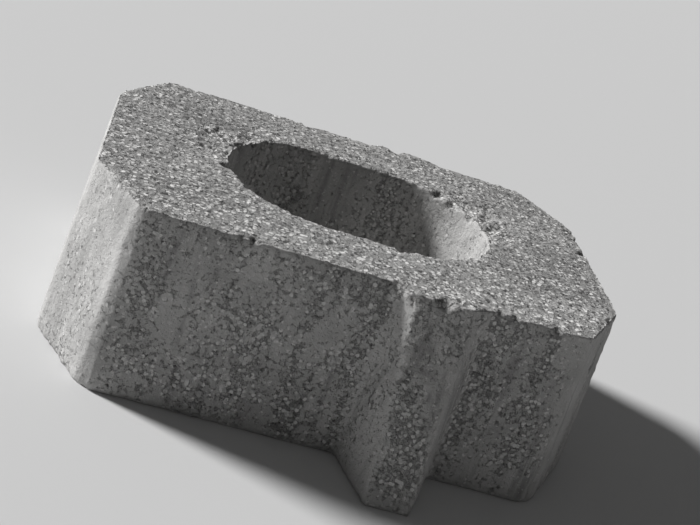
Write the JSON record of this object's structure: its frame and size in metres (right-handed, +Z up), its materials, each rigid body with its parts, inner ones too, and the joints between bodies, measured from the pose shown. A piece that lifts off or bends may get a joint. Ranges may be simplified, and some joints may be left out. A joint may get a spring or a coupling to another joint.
{
  "type": "perforated concrete armour block",
  "caption": "Flat, long-octagonal concrete armour block for a sea dike, with one long round-ended opening right through it and a spacer nose on each long side, towards one end.",
  "frame": {"origin": "bottom centre of the bounding box: the middle of the flat underside", "axes": "+Z up; X along the block; Y across it; both noses stand on the +X half"},
  "size_m": [2.0978, 2.0378, 0.7],
  "materials": {
    "concrete": "rough"
  },
  "bodies": {
    "root": {"block": "concrete"}
  },
  "joints": []
}
